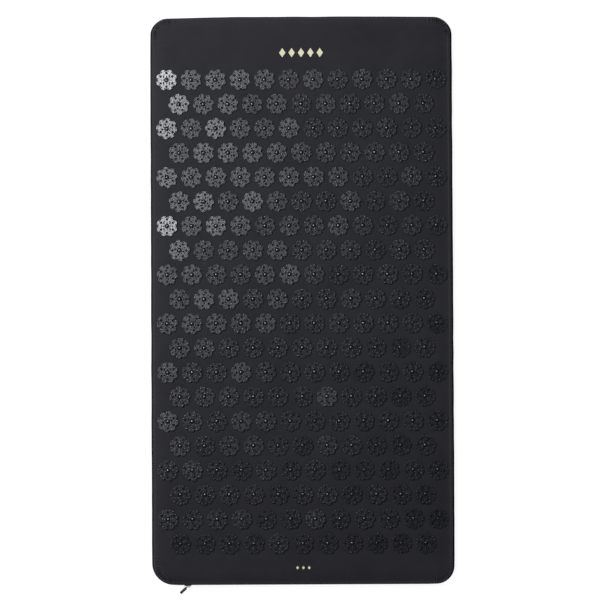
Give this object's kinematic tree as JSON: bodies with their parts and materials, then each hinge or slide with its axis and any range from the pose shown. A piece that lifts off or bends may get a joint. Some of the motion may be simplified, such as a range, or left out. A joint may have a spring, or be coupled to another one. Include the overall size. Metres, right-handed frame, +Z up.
{
  "type": "acupressure mat",
  "caption": "Foam mat in a zipped dark cotton cover, its face covered with staggered rows of black plastic spiked discs, for lying on.",
  "frame": {"origin": "middle of the mat's flat underside, on the surface it lies on", "axes": "+Z up out of the spiked face; +Y along the mat towards its head end, away from the zip; +X across the mat"},
  "size_m": [0.42, 0.8017, 0.0286],
  "materials": {
    "canvas": "charcoal cotton canvas",
    "spiked_face": "charcoal cotton canvas with black plastic discs",
    "foam": "grey polyurethane foam",
    "zip_tape": "woven polyester tape",
    "zip_coil": "black nylon coil",
    "zip_metal": "dark plated zinc",
    "pull_grip": "dark moulded plastic"
  },
  "bodies": {
    "mat": {"foam_core": "foam", "cover_spiked_panel": "spiked_face", "cover_bottom_panel": "canvas", "side_band": "canvas", "zip_strip_upper": "canvas", "zip_strip_lower": "canvas", "zip_tape_upper": "zip_tape", "zip_tape_lower": "zip_tape", "zip_coil_upper": "zip_coil", "zip_coil_lower": "zip_coil", "zip_top_stop_upper": "zip_metal", "zip_top_stop_lower": "zip_metal", "zip_bottom_stop": "zip_metal"},
    "slider": {"zip_slider": "zip_metal"},
    "pull": {"zip_pull_link": "zip_metal", "zip_pull_grip": "pull_grip"}
  },
  "joints": [
    {"name": "zip_run", "type": "slide", "parent": "mat", "child": "slider", "axis": [1, 0, 0], "range_m": [0, 0.3195]},
    {"name": "pull_swing", "type": "hinge", "parent": "slider", "child": "pull", "pos_m": [-0.15995, -0.39615, 0.0113], "axis": [0, 0, 1], "range_deg": [-23, 117]}
  ]
}
